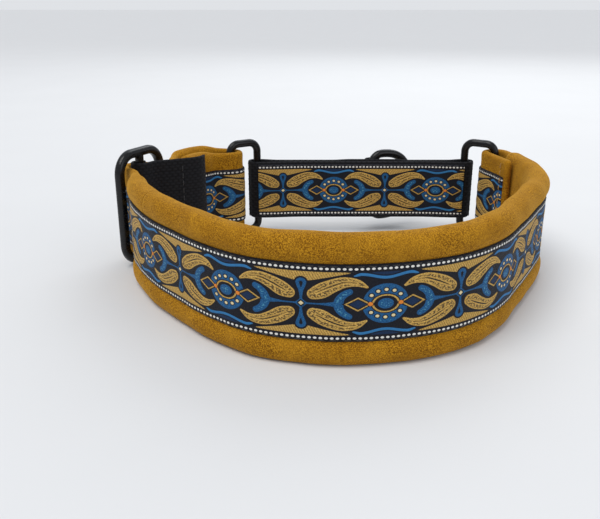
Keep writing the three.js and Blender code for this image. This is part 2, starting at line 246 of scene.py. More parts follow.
# ---- materials ----
class Finish:
    """A node material under construction. Methods return output sockets."""

    def __init__(self, name, roughness=0.5, **inputs):
        self.material = bpy.data.materials.new(name)
        self.material.use_nodes = True
        self.tree = self.material.node_tree
        self.surface = self.tree.nodes["Principled BSDF"]
        self.set(Roughness=roughness, **inputs)

    def set(self, **inputs):
        for key, value in inputs.items():
            self.put(self.surface.inputs[key.replace("_", " ")], value)

    def put(self, socket, value):
        if isinstance(value, bpy.types.NodeSocket):
            self.tree.links.new(value, socket)
        else:
            socket.default_value = (*value, 1.0) if socket.type == "RGBA" else value

    def node(self, kind, settings=(), output=0, **inputs):
        node = self.tree.nodes.new("ShaderNode" + kind)
        for key, value in dict(settings).items():
            setattr(node, key, value)
        for key, value in inputs.items():
            self.put(node.inputs[int(key[1:]) if key[0] == "_" and key[1:].isdigit() else key], value)
        return node.outputs[output]

    def attribute(self, name, output="Fac"):
        return self.node("Attribute", {"attribute_name": name}, output)

    def math(self, operation, a, b=0.0):
        return self.node("Math", {"operation": operation}, 0, _0=a, _1=b)

    def times(self, a, b):
        return self.math("MULTIPLY", a, b)

    def mix(self, share, a, b):
        node = self.tree.nodes.new("ShaderNodeMix")
        node.data_type = "RGBA"
        self.put(node.inputs[0], share)
        self.put(node.inputs[6], a)
        self.put(node.inputs[7], b)
        return node.outputs[2]

    def between(self, value, low, high, start=0.0, end=1.0):
        keys = {"From Min": low, "From Max": high, "To Min": start, "To Max": end}
        return self.node("MapRange", {"interpolation_type": "SMOOTHSTEP"}, 0, Value=value, **keys)

    def inside(self, value, edge=0.0, softness=0.06):
        return self.between(value, edge - softness, edge + softness, 1.0, 0.0)

    def stretch(self, vector, scale):
        return self.node("Mapping", {}, 0, Vector=vector, Scale=scale)

    def noise(self, vector, scale, detail=2.0, output=0):
        return self.node("TexNoise", {}, output, Vector=vector, Scale=scale, Detail=detail)

    def bump(self, height, distance, strength=1.0, normal=None):
        extra = {} if normal is None else {"Normal": normal}
        return self.node("Bump", {}, 0, Height=height, Distance=distance, Strength=strength, **extra)

    def parts(self, vector):
        node = self.tree.nodes.new("ShaderNodeSeparateXYZ")
        self.put(node.inputs[0], vector)
        return node.outputs

    def place(self):
        return self.node("TexCoord", {}, "Object")


def velvet_finish():
    m = Finish("mustard_velvet", 0.92, Specular_IOR_Level=0.15)
    cloth = m.attribute("cloth", "Vector")
    pile = m.noise(m.stretch(cloth, (3.6, 2.6, 3.6)), 1.0, 3.0)
    nap = m.noise(cloth, 0.13, 3.0)
    brushed = m.noise(m.stretch(cloth, (0.13, 0.10, 0.2)), 1.0, 2.0)
    base = m.mix(m.between(pile, 0.38, 0.62), (0.150, 0.056, 0.002), (0.52, 0.245, 0.011))
    base = m.mix(m.between(nap, 0.38, 0.72, 0.0, 0.45), base, (0.270, 0.112, 0.003))
    base = m.mix(m.between(brushed, 0.45, 0.75, 0.0, 0.25), base, (0.60, 0.300, 0.020))
    # Painted sheen: the velvet's colour is lightened where its surface is seen edge-on.
    painted_rim_sheen = m.node("LayerWeight", {}, "Facing", Blend=0.3)
    base = m.mix(m.between(painted_rim_sheen, 0.4, 1.0, 0.0, 0.40), base, (0.72, 0.370, 0.032))
    m.set(Base_Color=base, Sheen_Weight=0.22, Sheen_Roughness=0.4, Sheen_Tint=(1.0, 0.62, 0.14))
    m.set(Normal=m.bump(pile, 0.00016, 0.8, m.bump(nap, 0.0006, 0.4)))
    return m.material


def ribbon_finish():
    """Black ground with the pattern's colours where its signed distances are below zero."""
    m = Finish("jacquard_ribbon", 0.6, Specular_IOR_Level=0.22)
    cloth = m.attribute("cloth", "Vector")
    along, across, _ = m.parts(cloth)
    grain = m.noise(m.stretch(cloth, (2.4, 5.5, 1.0)), 1.0, 2.0)
    flecks = m.noise(m.stretch(cloth, (1.5, 2.2, 1.0)), 1.0, 1.0)
    skew = m.math("ADD", m.times(along, 8.4), m.times(across, 4.6))
    hatch = m.math("SINE", skew)
    gold_depth = m.attribute("gold")
    blue_depth = m.attribute("blue")
    ground = m.mix(grain, (0.002, 0.002, 0.004), (0.009, 0.011, 0.020))
    navy = m.mix(grain, (0.003, 0.010, 0.035), (0.010, 0.040, 0.11))
    base = m.mix(m.inside(m.attribute("navy")), ground, navy)
    blue = m.mix(m.between(grain, 0.3, 0.7), (0.005, 0.050, 0.15), (0.018, 0.135, 0.32))
    speckle = m.times(m.between(flecks, 0.52, 0.64), m.inside(blue_depth, -0.55, 0.1))
    blue = m.mix(m.times(speckle, 0.8), blue, (0.09, 0.32, 0.45))
    base = m.mix(m.inside(blue_depth), base, blue)
    light = m.mix(grain, (0.015, 0.12, 0.32), (0.045, 0.24, 0.50))
    base = m.mix(m.inside(m.attribute("light")), base, light)
    gold = m.mix(m.between(grain, 0.3, 0.72), (0.34, 0.180, 0.030), (0.80, 0.52, 0.14))
    dashes = m.times(m.between(flecks, 0.46, 0.54), m.inside(gold_depth, -0.40, 0.1))
    gold = m.mix(m.times(dashes, 0.86), gold, (0.045, 0.030, 0.018))
    base = m.mix(m.inside(gold_depth), base, gold)
    wedge = m.mix(m.between(hatch, 0.35, 0.85, 0.0, 0.6), gold, (0.13, 0.07, 0.018))
    base = m.mix(m.inside(m.attribute("wedge")), base, wedge)
    base = m.mix(m.inside(m.attribute("orange")), base, (0.78, 0.24, 0.03))
    base = m.mix(m.inside(m.attribute("cream")), base, (0.80, 0.66, 0.38))
    cell = m.math("SUBTRACT", m.math("FRACT", m.math("DIVIDE", along, DOT_PITCH)), 0.5)
    off_line = m.math("SUBTRACT", m.math("ABSOLUTE", across), DOT_LINE)
    dot = m.math("ADD", m.math("POWER", m.times(cell, DOT_PITCH / 0.48), 2.0),
                 m.math("POWER", m.math("DIVIDE", off_line, 0.34), 2.0))
    base = m.mix(m.inside(dot, 1.0, 0.25), base, (0.82, 0.80, 0.74))
    weft = m.math("SINE", m.times(across, TAU / 0.42))
    warp = m.math("SINE", m.times(along, TAU / 0.36))
    weave = m.times(weft, warp)
    m.set(Base_Color=base, Sheen_Weight=0.03, Sheen_Roughness=0.4)
    m.set(Roughness=m.between(grain, 0.2, 0.8, 0.75, 0.5))
    m.set(Normal=m.bump(weave, 0.00006, 0.6, m.bump(grain, 0.00014, 0.8)))
    return m.material


def webbing_finish(name, dark, lit):
    m = Finish(name, 0.8, Specular_IOR_Level=0.2)
    cloth = m.attribute("cloth", "Vector")
    across = m.parts(cloth)[1]
    threads = m.noise(m.stretch(cloth, (2.0, 7.0, 1.0)), 1.0, 2.0)
    relief = m.attribute("relief")
    # Painted shade and highlight: the dark colour in the weave's hollows, the lit colour on its raised
    # floats.
    base = m.mix(m.between(relief, 0.1, 0.9), dark, lit)
    # The threads noise also lightens it toward the lit colour at random.
    base = m.mix(m.times(threads, 0.4), base, lit)
    strand = m.math("SINE", m.times(across, TAU / 0.38))
    m.set(Base_Color=base, Sheen_Weight=0.04, Sheen_Roughness=0.5)
    m.set(Normal=m.bump(strand, 0.00006, 0.7, m.bump(threads, 0.00012, 0.8)))
    return m.material


def enamel_finish():
    m = Finish("black_enamel", 0.34, Specular_IOR_Level=0.25, Coat_Weight=0.12, Coat_Roughness=0.15)
    place = m.place()
    haze = m.noise(place, 420.0, 3.0)
    peel = m.noise(place, 1500.0, 2.0)
    scratch = m.noise(m.stretch(place, (300.0, 300.0, 4200.0)), 1.0, 1.0)
    wear = m.node("NewGeometry", {}, "Pointiness")
    worn = m.times(m.between(wear, 0.53, 0.6), m.between(haze, 0.45, 0.7))
    base = m.mix(haze, (0.002, 0.002, 0.002), (0.008, 0.008, 0.009))
    base = m.mix(m.times(worn, 0.5), base, (0.05, 0.05, 0.052))
    m.set(Base_Color=base, Roughness=m.between(scratch, 0.35, 0.75, 0.22, 0.42))
    m.set(Normal=m.bump(peel, 0.00004, 0.35, m.bump(scratch, 0.00002, 0.5)))
    return m.material


def thread_finish(name, dark, lit):
    m = Finish(name, 0.55)
    place = m.place()
    ply = m.node("TexWave", {"bands_direction": "DIAGONAL"}, 0, Vector=place, Scale=900.0, Distortion=1.0)
    fuzz = m.noise(place, 3000.0, 2.0)
    # Painted shade and highlight: the dark colour in the grooves of the twist, the lit colour on its plies,
    # broken up at random by the fuzz noise.
    m.set(Base_Color=m.mix(m.times(ply, fuzz), dark, lit), Sheen_Weight=0.3)
    m.set(Normal=m.bump(ply, 0.00006, 0.7))
    return m.material


def foam_finish():
    m = Finish("foam_padding", 0.95)
    cells = m.node("TexVoronoi", {}, 0, Vector=m.place(), Scale=1400.0)
    base = m.mix(cells, (0.60, 0.56, 0.48), (0.78, 0.75, 0.67))
    m.set(Base_Color=base, Normal=m.bump(cells, 0.0002, 0.6))
    return m.material


LOOKS = {
    "velvet": velvet_finish(),
    "woven_ribbon": ribbon_finish(),
    # painted shade: each webbing's first colour is its shaded copy, the second its lit copy
    "black_webbing": webbing_finish(
        "black_webbing", (0.001, 0.001, 0.0015), (0.013, 0.013, 0.016)),
    "core_webbing": webbing_finish("core_webbing", (0.03, 0.03, 0.03), (0.10, 0.10, 0.10)),
    "black_enamel": enamel_finish(),
    # painted shade: each thread's first colour is its shaded copy, the second its lit copy
    "gold_thread": thread_finish("gold_thread", (0.34, 0.16, 0.02), (0.62, 0.36, 0.08)),
    "black_thread": thread_finish("black_thread", (0.005, 0.005, 0.006), (0.03, 0.03, 0.032)),
    "padding": foam_finish(),
}


# ---- swept pieces ----
def make_piece(name, vertices, faces, slot, fields=None, sharp_faces=()):
    mesh = bpy.data.meshes.new(name)
    mesh.from_pydata((np.asarray(vertices) * MM).tolist(), [], faces)
    for key, values in (fields or {}).items():
        kind, member = ("FLOAT_VECTOR", "vector") if np.ndim(values) == 2 else ("FLOAT", "value")
        layer = mesh.attributes.new(key, kind, "POINT")
        layer.data.foreach_set(member, np.ravel(values).astype(np.float32))
    mesh.polygons.foreach_set("use_smooth", [True] * len(mesh.polygons))
    for face in sharp_faces:
        mesh.polygons[face].use_smooth = False
    mesh.materials.append(LOOKS[slot])
    mesh.update()
    piece = bpy.data.objects.new(name, mesh)
    bpy.context.scene.collection.objects.link(piece)
    return piece


def ring_faces(count, around, first=0):
    """Quads between successive closed loops of a sweep."""
    i, j = np.meshgrid(np.arange(count - 1), np.arange(around), indexing="ij")
    a = first + i * around + j
    b = first + i * around + (j + 1) % around
    return np.stack([a, b, b + around, a + around], axis=-1).reshape(-1, 4).tolist()


def sweep(name, line, s, out, up, slot, fields=None):
    """A closed section (out, up), each stations x around, carried along a line."""
    count, around = out.shape
    xy = line.at(s)[:, None] + line.outward(s)[:, None] * out[..., None]
    vertices = np.concatenate([xy, up[..., None]], axis=-1).reshape(-1, 3)
    faces = [face[::-1] for face in ring_faces(count, around)]
    first = list(range(around))
    last = list(range((count - 1) * around, count * around))[::-1]
    faces += [first, last]
    cloth = np.stack([np.broadcast_to(s[:, None], out.shape), up - MIDDLE_HEIGHT, out], axis=-1)
    everything = {"cloth": cloth.reshape(-1, 3)}
    for key, values in (fields or {}).items():
        everything[key] = values.reshape(-1, 3) if values.ndim == 3 else values.reshape(-1)
    caps = (len(faces) - 2, len(faces) - 1)
    return make_piece(name, vertices, faces, slot, everything, caps)


def stations(start, end, step):
    return np.linspace(start, end, max(3, int(round(abs(end - start) / step)) + 1))


def closed_curve(points, count):
    """Points evenly spaced on a smooth closed curve through the given ones."""
    points = np.asarray(points, float)
    n = len(points)
    fine = np.arange(n * 24) / 24
    i = fine.astype(int)
    x = (fine - i)[:, None]
    p0, p1, p2, p3 = (points[(i + k) % n] for k in (-1, 0, 1, 2))
    curve = 0.5 * (
        2 * p1 + (p2 - p0) * x + (2 * p0 - 5 * p1 + 4 * p2 - p3) * x**2 + (3 * p1 - p0 - 3 * p2 + p3) * x**3
    )
    curve = np.concatenate([curve, curve[:1]])
    length = lengths(curve)
    wanted = np.arange(count) / count * length[-1]
    return np.stack([np.interp(wanted, length, curve[:, k]) for k in (0, 1)], axis=-1)


def place_piece(piece, body, *nodes):
    """Makes a piece ride a body and stand for the CAD nodes it draws."""
    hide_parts(*nodes)
    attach(piece, body)


# ---- the band ----
FLOOR_OUT = 2.7  # where the ribbon lies on the padded band
THIN_OUT = 1.5  # and on the thin band
AROUND = 96  # points round the cover's section


def outline(box, floor_out, outer, inner):
    """Anticlockwise outline (out, up) of the cover, from the lower half of its outer and inner sides."""
    low, high = box[0][2], box[1][2]
    lip = MIDDLE_HEIGHT - RIBBON_HEIGHT / 2 - low
    outer = outer + [(floor_out, lip + rise) for rise in (-0.1, 1.0, 4.0, 8.0)]
    rise = [(out, low + up) for out, up in outer] + [(out, high - up) for out, up in outer[::-1]]
    fall = [(out, high - up) for out, up in inner] + [(out, low + up) for out, up in inner[::-1]]
    return closed_curve(rise + fall, AROUND)


PADDED = outline(band_box, FLOOR_OUT,
                 [(0.0, 0.0), (1.9, 0.25), (3.3, 1.5), (4.0, 3.6), (3.95, 5.6), (3.3, 7.2)],
                 [(-1.9, 0.3), (-3.2, 1.6), (-3.85, 4.2), (-4.1, 8.5), (-4.2, 14.0)])
THIN = outline(thin_box, THIN_OUT,
               [(0.0, 0.0), (0.8, 0.15), (1.45, 0.7), (1.62, 1.6), (1.6, 2.6), (1.55, 3.4)],
               [(-0.8, 0.15), (-1.45, 0.7), (-1.6, 2.6), (-1.6, 7.0), (-1.6, 12.0)])


def fullness(s):
    """1 where the band is padded, 0 on its thin stretches."""
    share = np.ones_like(s)
    for name in THIN_NODES:
        start, end = spans[name]
        after = PADDING_RAMP if name == "slider_pass" else PADDING_RAMP * 0.7
        before = PADDING_RAMP * 0.6
        share = np.minimum(share, np.maximum(smooth(start - s, 0, before), smooth(s - end, 0, after)))
    return share


def ribbon_out(s):
    return THIN_OUT + (FLOOR_OUT - THIN_OUT) * fullness(s)


def wander(s, t, seed, count=7, shortest=9.0, longest=60.0):
    """A smooth, repeatable unevenness between about -1 and 1."""
    random = np.random.default_rng(seed)
    total = np.zeros(np.broadcast(s, t).shape)
    for _ in range(count):
        wave = TAU / random.uniform(shortest, longest)
        lean = TAU / random.uniform(20.0, 70.0)
        total = total + np.sin(s * wave + t * lean + random.uniform(0, TAU))
    return total / math.sqrt(count)


def velvet(name, start, end, close_start=False, close_end=False):
    s = stations(start, end, VELVET_STEP)
    share = fullness(s)[:, None, None]
    ring = THIN * (1 - share) + PADDED * share
    out, up = ring[..., 0].copy(), ring[..., 1].copy()
    beside = np.abs(up - MIDDLE_HEIGHT) - RIBBON_HEIGHT / 2
    covered = smooth(out, 1.0, 1.4) * (beside < 0.4)
    lip = smooth(beside, 0.0, 1.2) * smooth(out, 0.5, 2.0)
    near_seam = np.exp(-((beside - 1.4) / 1.3) ** 2) * (out > 0.5)
    along = s[:, None]
    pucker = np.sin(along * TAU / 5.3 + wander(along, up, 5) * 1.5) * 0.06 * near_seam
    full = share[..., 0]
    swell = wander(along, up, 11, 7, 16.0, 70.0) * 0.15 * (0.4 + 0.6 * full)
    crease = wander(along, up, 23, 6, 8.0, 18.0) * 0.03
    inner = smooth(-out, 0.0, 1.5)
    growth = (swell + crease) * np.maximum(lip, inner) + pucker * full
    growth = growth * (1 - covered)
    direction = np.where(out > 0, 1.0, -1.0) * smooth(np.abs(out), 0.2, 1.2)
    out += growth * direction
    up += wander(along, 0.0, 31, 5, 18.0, 70.0) * 0.18 * (up > MIDDLE_HEIGHT) * smooth(beside, 2.0, 7.0)
    for closing, place in ((close_start, start), (close_end, end)):
        if closing:
            taper = np.sqrt(np.clip(1 - (1 - np.clip(np.abs(s - place) / 1.6, 0, 1)) ** 2, 0.03, 1))[:, None]
            out *= taper
            up = MIDDLE_HEIGHT + (up - MIDDLE_HEIGHT) * (0.93 + 0.07 * taper)
    return sweep(name, band, s, out, up, "velvet")


# ---- the ribbon's pattern ----
def disc(p, q, x, y, rx, ry=None):
    ry = rx if ry is None else ry
    return (np.hypot((p - x) / rx, (q - y) / ry) - 1) * min(rx, ry)


def stroke(p, q, points, count=28):
    """Distance to a tapering line through (p, q, half width) points."""
    points = np.asarray(points, float)
    t = lengths(points[:, :2])
    beads = smooth_curve(points, t, np.linspace(0, t[-1], count))
    best = np.full(p.shape, 99.0)
    for (ax, ay, ar), (bx, by, br) in zip(beads[:-1], beads[1:]):
        dx, dy = bx - ax, by - ay
        h = np.clip(((p - ax) * dx + (q - ay) * dy) / (dx * dx + dy * dy + 1e-9), 0, 1)
        best = np.minimum(best, np.hypot(p - ax - h * dx, q - ay - h * dy) - (ar + (br - ar) * h))
    return best


def outside(shape, *others, gap=0.5):
    for other in others:
        shape = np.maximum(shape, gap - other)
    return shape


MEDALLION = PATTERN_PERIOD / 2
FIELD_TOP = 9.35  # the pattern ends here, under the dotted borders
FAR = 3.0  # distances are kept within this
TUCK_LENGTH = 1.0


def pattern(along, across):
    """Signed distances of a generic ornament's coloured areas: four leaves round a cross, a
    lozenge in a crescent, then a beaded oval, mirrored and repeated, between plain waves."""
    p = np.abs((along + MEDALLION) % PATTERN_PERIOD - MEDALLION)  # from the nearest cross
    q = np.abs(across)
    m = MEDALLION - p  # from the oval
    leaf = stroke(p, q, [
        (3.2, 2.9, 1.6), (5.0, 3.7, 2.15), (8.0, 5.3, 1.95),
        (11.5, 6.5, 1.5), (15.0, 6.2, 0.95), (17.2, 5.0, 0.35),
    ])
    midrib = stroke(p, q, [(4.0, 3.3, 0.12), (8.0, 5.3, 0.2), (11.5, 6.5, 0.16), (14.5, 6.3, 0.1)], 12)
    sweep_angle = np.radians(np.linspace(180, 118, 6))
    crescent = stroke(p, q, np.column_stack([
        15.2 + 5.4 * np.cos(sweep_angle), 4.2 * np.sin(sweep_angle), np.linspace(1.35, 0.85, 6)]), 14)
    stem = stroke(p, q, [(1.2, 0.0, 0.22), (5.5, 0.0, 0.26), (8.6, 0.0, 0.7)], 5)
    lozenge = q * 0.86 + np.abs(14.9 - p) * 0.5 - 1.62
    lozenge_rim = np.abs(lozenge) - 0.19
    node = disc(p, q, MEDALLION - 4.15, 0.0, 0.7, 0.6)
    oval = disc(m, q, 0.0, 0.0, 3.5, 2.5)
    oval_rim = np.abs(oval) - 0.2
    border = disc(m, q, 0.0, 0.0, 6.3, 5.9)
    beads = np.minimum.reduce([
        disc(m, q, 5.0 * math.cos(a), 4.1 * math.sin(a), 0.55, 0.45) for a in np.radians((38, 64, 90))])
    petal = stroke(p, q, [(0.0, 1.4, 0.3), (0.0, 3.6, 0.6), (0.0, 6.0, 1.45)], 10)
    petal_heart = stroke(p, q, [(0.0, 4.6, 0.1), (0.0, 6.0, 0.5)], 4)
    diamond = (p * 0.9 + q - 0.66) * 0.72
    diamond_rim = np.abs((p * 0.9 + q - 1.35) * 0.72) - 0.17
    wave_height = 8.25 - 0.55 * np.cos((m / 7.0) * np.pi) * smooth(9.5 - m, 0.0, 3.0)
    wave = np.maximum(np.abs(q - wave_height) - 0.4 * smooth(9.8 - m, 0.0, 2.5), m - 9.8)
    above = np.maximum.reduce([q - FIELD_TOP, wave_height + 0.75 - q, m - 8.0])
    corner = np.maximum(q - FIELD_TOP, 6.3 + 0.22 * p - q)

    petals = outside(outside(border, leaf, crescent, lozenge, gap=0.5), oval, gap=0.45)
    shapes = {
        "gold": np.minimum.reduce([
            np.maximum(leaf, -midrib),
            outside(lozenge_rim, node, gap=0.1),
            outside(oval_rim, node, gap=0.1),
        ]),
        "blue": np.minimum.reduce([
            outside(petals, beads, gap=0.26),
            oval + 0.95,
            outside(crescent, leaf, lozenge, gap=0.5),
            outside(stem, leaf, gap=0.4),
            np.maximum(outside(petal, leaf, gap=0.45), -petal_heart),
            diamond_rim,
        ]),
        "light": outside(wave, leaf, gap=0.45),
        "navy": np.minimum(lozenge + 0.5, outside(above, leaf, gap=0.35)),
        "cream": np.minimum(beads, diamond),
        "orange": node,
        "wedge": outside(outside(corner, leaf, gap=0.55), petal, wave, gap=0.5),
    }
    return {key: np.clip(value, -FAR, FAR) for key, value in shapes.items()}


def raised(depths):
    """How far the coloured threads stand proud of the ground."""
    def lift(distance, height):
        return height * smooth(-distance, -0.1, 0.35)

    high = [lift(depths["gold"], 0.13), lift(depths["wedge"], 0.07), lift(depths["cream"], 0.15)]
    high += [lift(depths["blue"], 0.09), lift(depths["light"], 0.12), lift(depths["orange"], 0.13)]
    return np.maximum.reduce(high)


def ribbon(name, line, start, end, back, middle_height, origin, tucked=()):
    """A patterned strip lying outside a line, its back at distance back(s), thin at tucked places."""
    s = stations(start, end, RIBBON_STEP)
    v = np.linspace(-RIBBON_HEIGHT / 2, RIBBON_HEIGHT / 2, int(RIBBON_HEIGHT / RIBBON_STEP) + 1)
    along, across = np.meshgrid(s, v, indexing="ij")
    depths = pattern(along - origin, across)
    edge = smooth(np.abs(across), RIBBON_HEIGHT / 2 - 0.5, RIBBON_HEIGHT / 2)
    cord = 0.10 * np.exp(-((np.abs(across) - DOT_LINE) / 0.45) ** 2)
    ripple = wander(along, across, 47, 6, 6.0, 24.0) * 0.05
    face = RIBBON_THICKNESS - 0.16 + raised(depths) + cord + ripple - edge * 0.28
    base = np.asarray(back(s), float)[:, None]
    out = np.concatenate([base + face, np.broadcast_to(base, (len(s), 2))], axis=1)
    up = np.concatenate([across, np.broadcast_to([v[-1], v[0]], (len(s), 2))], axis=1) + middle_height
    for place in tucked:
        rise = smooth(np.abs(s - place), 0.0, TUCK_LENGTH)[:, None]
        out = base + (out - base) * (0.15 + 0.85 * rise)
    plain = np.full((len(s), 2), FAR)
    fields = {key: np.concatenate([value, plain], axis=1) for key, value in depths.items()}
    travelled = np.broadcast_to((s - origin)[:, None], out.shape)
    fields["cloth"] = np.stack([travelled, up - middle_height, out * 0], axis=-1)
    return sweep(name, line, s, out, up, "woven_ribbon", fields)


# ---- webbing ----
def along_line(s):
    """For a strap whose middle follows its line."""
    return s * 0


def basket(u, v, long=2.3, short=1.15):
    """Height, 0 to 1, of a webbing weave: floats along the strap in staggered columns."""
    column = np.floor(v / short)
    along = u / long + 0.5 * (column % 2)
    crown = np.abs(np.sin(np.pi * along)) ** 0.6
    side = np.abs(np.sin(np.pi * v / short)) ** 0.6
    return crown * side


def strap(name, line, start, end, centre, thickness, base, height, slot,
          relief=0.16, taper=None, step=WEB_STEP):
    """Webbing on edge along a line. centre(s) is the distance of its middle from the line."""
    s = stations(start, end, step)
    v = np.linspace(0, height, int(height / step) + 1)
    half = np.full(len(s), thickness / 2)
    for place, length, least in (taper or ()):
        half = half * (least + (1 - least) * smooth(np.abs(s - place), 0.0, length))
    along, rise = np.meshgrid(s, v, indexing="ij")
    weave = basket(along, rise)
    selvedge = np.sqrt(np.clip(1 - (1 - np.minimum(rise, height - rise) / 0.9).clip(0, 1) ** 2, 0.06, 1))
    face = (half[:, None] - relief * (1 - weave)) * selvedge
    middle = np.asarray(centre(s), float)[:, None]
    out = np.concatenate([middle + face, (middle - face)[:, ::-1]], axis=1)
    up = np.concatenate([rise, rise[:, ::-1]], axis=1) + base
    fields = {"relief": np.concatenate([weave, weave[:, ::-1]], axis=1)}
    return sweep(name, line, s, out, up, slot, fields)


# ---- stitches ----
STITCH_PROFILE = [(-0.5, 0.25), (-0.42, 0.8), (-0.2, 1.0), (0.2, 1.0), (0.42, 0.8), (0.5, 0.25)]


def stitches(name, places, directions, normals, length, slot, radius=THREAD_RADIUS, around=8):
    """Many short, closed stitches that dip at both ends, as one piece."""
    vertices, faces = [], []
    for place, direction, normal in zip(places, directions, normals):
        side = np.cross(normal, direction)
        first = len(vertices)
        for share, swell in STITCH_PROFILE:
            centre = place + direction * share * length - normal * (share * 2) ** 4 * radius * 1.3
            for k in range(around):
                turn = TAU * k / around
                ring = side * math.cos(turn) * radius * swell + normal * math.sin(turn) * radius * swell
                vertices.append(centre + ring)
        faces += ring_faces(len(STITCH_PROFILE), around, first)
        faces.append(list(range(first, first + around))[::-1])
        top = first + (len(STITCH_PROFILE) - 1) * around
        faces.append(list(range(top, top + around)))
    return make_piece(name, vertices, faces, slot)


def row_along(name, line, start, end, out, heights, slot, length=2.3, pitch=3.1):
    s = np.arange(start + pitch / 2, end, pitch)
    places, directions, normals = [], [], []
    for height in heights:
        xy = line.at(s)
        away = line.outward(s)
        distance = np.asarray(out(s), float)[:, None]
        for spot, normal in zip(xy + away * distance, away):
            places.append(np.array([spot[0], spot[1], height]))
            normals.append(np.array([normal[0], normal[1], 0.0]))
            directions.append(np.array([-normal[1], normal[0], 0.0]))
    return stitches(name, places, directions, normals, length, slot)


def row_upright(name, line, s, out, low, high, slot, length=2.2, pitch=3.0, side=1, radius=0.2):
    heights = np.arange(low + pitch / 2, high, pitch)
    spot, away = line.at(s), line.outward(s)
    place = spot + away * out
    normal = np.array([away[0], away[1], 0.0]) * side
    places = [np.array([place[0], place[1], h]) for h in heights]
    up = np.array([0.0, 0.0, 1.0])
    count = len(places)
    return stitches(name, places, [up] * count, [normal] * count, length, slot, radius)


# ---- assembling the band ----
def follow(pieces, start, end):
    for piece in pieces:
        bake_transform(piece)


front_middle = band.s[np.argmin(np.abs(band.xy[:, 0]) + np.where(band.xy[:, 1] < 0, 0, 1e6))]
PATTERN_START = front_middle + PATTERN_ORIGIN
left_flex = band.find(joint_place("left_band_flex"))
right_flex = band.find(joint_place("right_band_flex"))
crest = (spans["slider_pass"][0] + spans["slider_pass"][1]) / 2
side_middle = (spans["left_side"][0] + spans["left_side"][1]) / 2 + 4
fold_top = (spans["left_fold"][0] + spans["left_fold"][1]) / 2
band_end = spans["right_fold"][1]
END_MARGIN = 1.2  # the ribbon stops this far before a closed end of the band
FLEX_REACH = 14.0  # length taken on each side of a flex hinge


def band_stretch(name, start, end, nodes, turn_from, turn_to,
                 close_start=False, close_end=False):
    """Velvet, ribbon and edge stitching of one stretch."""
    cover = velvet("velvet_" + name + "_cover", start, end, close_start, close_end)
    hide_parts(*["velvet_" + node for node in nodes])
    ribbon_start = start + (END_MARGIN if close_start else 0)
    ribbon_end = end - (END_MARGIN if close_end else 0)
    tucked = [ribbon_start] * close_start + [ribbon_end] * close_end
    face = ribbon("ribbon_" + name + "_face", band, ribbon_start, ribbon_end,
                  lambda s: ribbon_out(s) + 0.05, MIDDLE_HEIGHT, PATTERN_START, tucked)
    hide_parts(*["ribbon_" + node for node in nodes])
    offset = RIBBON_HEIGHT / 2 - 0.55
    heights = (MIDDLE_HEIGHT - offset, MIDDLE_HEIGHT + offset)
    sewn = row_along("stitching_" + name, band, ribbon_start, ribbon_end,
                     lambda s: ribbon_out(s) + RIBBON_THICKNESS - 0.1, heights, "black_thread")
    core_top = thin_box[1][2] - thin_box[0][2] - 4
    core = strap("core_" + name + "_webbing", band, start + 1.5, end - 1.5, lambda s: fullness(s) * 0.6, 1.2,
                 MIDDLE_HEIGHT - core_top / 2, core_top, "core_webbing", relief=0.1, step=1.2)
    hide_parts(*["core_" + node for node in nodes])
    made = [cover, face, sewn, core]
    padded = [node for node in nodes if "padding_" + node in frame["nodes"]]
    if padded:
        low = min(spans[node][0] for node in padded)
        high = max(spans[node][1] for node in padded)
        low, high = max(low, start) + 1.5, min(high, end) - 1.5
        fill = padding("padding_" + name + "_fill", low, high)
        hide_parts(*["padding_" + node for node in padded])
        made.append(fill)
    follow(made, band.at(turn_from), band.at(turn_to))


def padding(name, start, end):
    s = stations(start, end, 1.5)
    ring = closed_curve([(-2.9, 3.5), (-1.4, 2.0), (-0.3, 3.0), (-0.1, 12), (-0.1, 27), (-0.3, 36),
                         (-1.4, 37.0), (-2.9, 35.5), (-3.1, 27), (-3.1, 12)], 40)
    share = fullness(s)[:, None]
    out = ring[:, 0] * (0.25 + 0.75 * share)
    up = MIDDLE_HEIGHT + (ring[:, 1] - MIDDLE_HEIGHT) * (0.8 + 0.2 * share)
    return sweep(name, band, s, out, up, "padding")


band_stretch("right", front_middle, band_end, ["front", "right_side", "right_fold"],
             right_flex - FLEX_REACH, right_flex + FLEX_REACH, close_end=True)
band_stretch("front_left", side_middle, front_middle, ["front", "left_side"],
             left_flex + FLEX_REACH, left_flex - FLEX_REACH)
band_stretch("slider_side", crest, side_middle, ["left_side", "slider_pass"],
             side_middle - 3, spans["slider_pass"][1] + 1)
band_stretch("slider_back", fold_top, crest, ["back_left", "slider_pass", "left_fold"],
             spans["slider_pass"][0] - 1, fold_top + 9)
band_stretch("return_layer", spans["return"][0], fold_top, ["return", "left_fold"],
             fold_top - 8, spans["return"][0] + 8, close_start=True)

end_row = row_upright("right_end_stitch_row", band, band_end - 3.2, THIN_OUT + RIBBON_THICKNESS + 0.1,
                      thin_box[0][2] + 3, thin_box[1][2] - 2, "gold_thread")
place_piece(end_row, "right_band", "right_end_stitching")


# ---- wire hardware ----
RING_CORNER = 5.6  # outer corner radius of the two rectangular rings
SLIDER_CORNER = 9.0  # outer corner radius of the slider
D_RING_CORNER = 5.0  # middle-line radius between the D-ring's bar and its bow


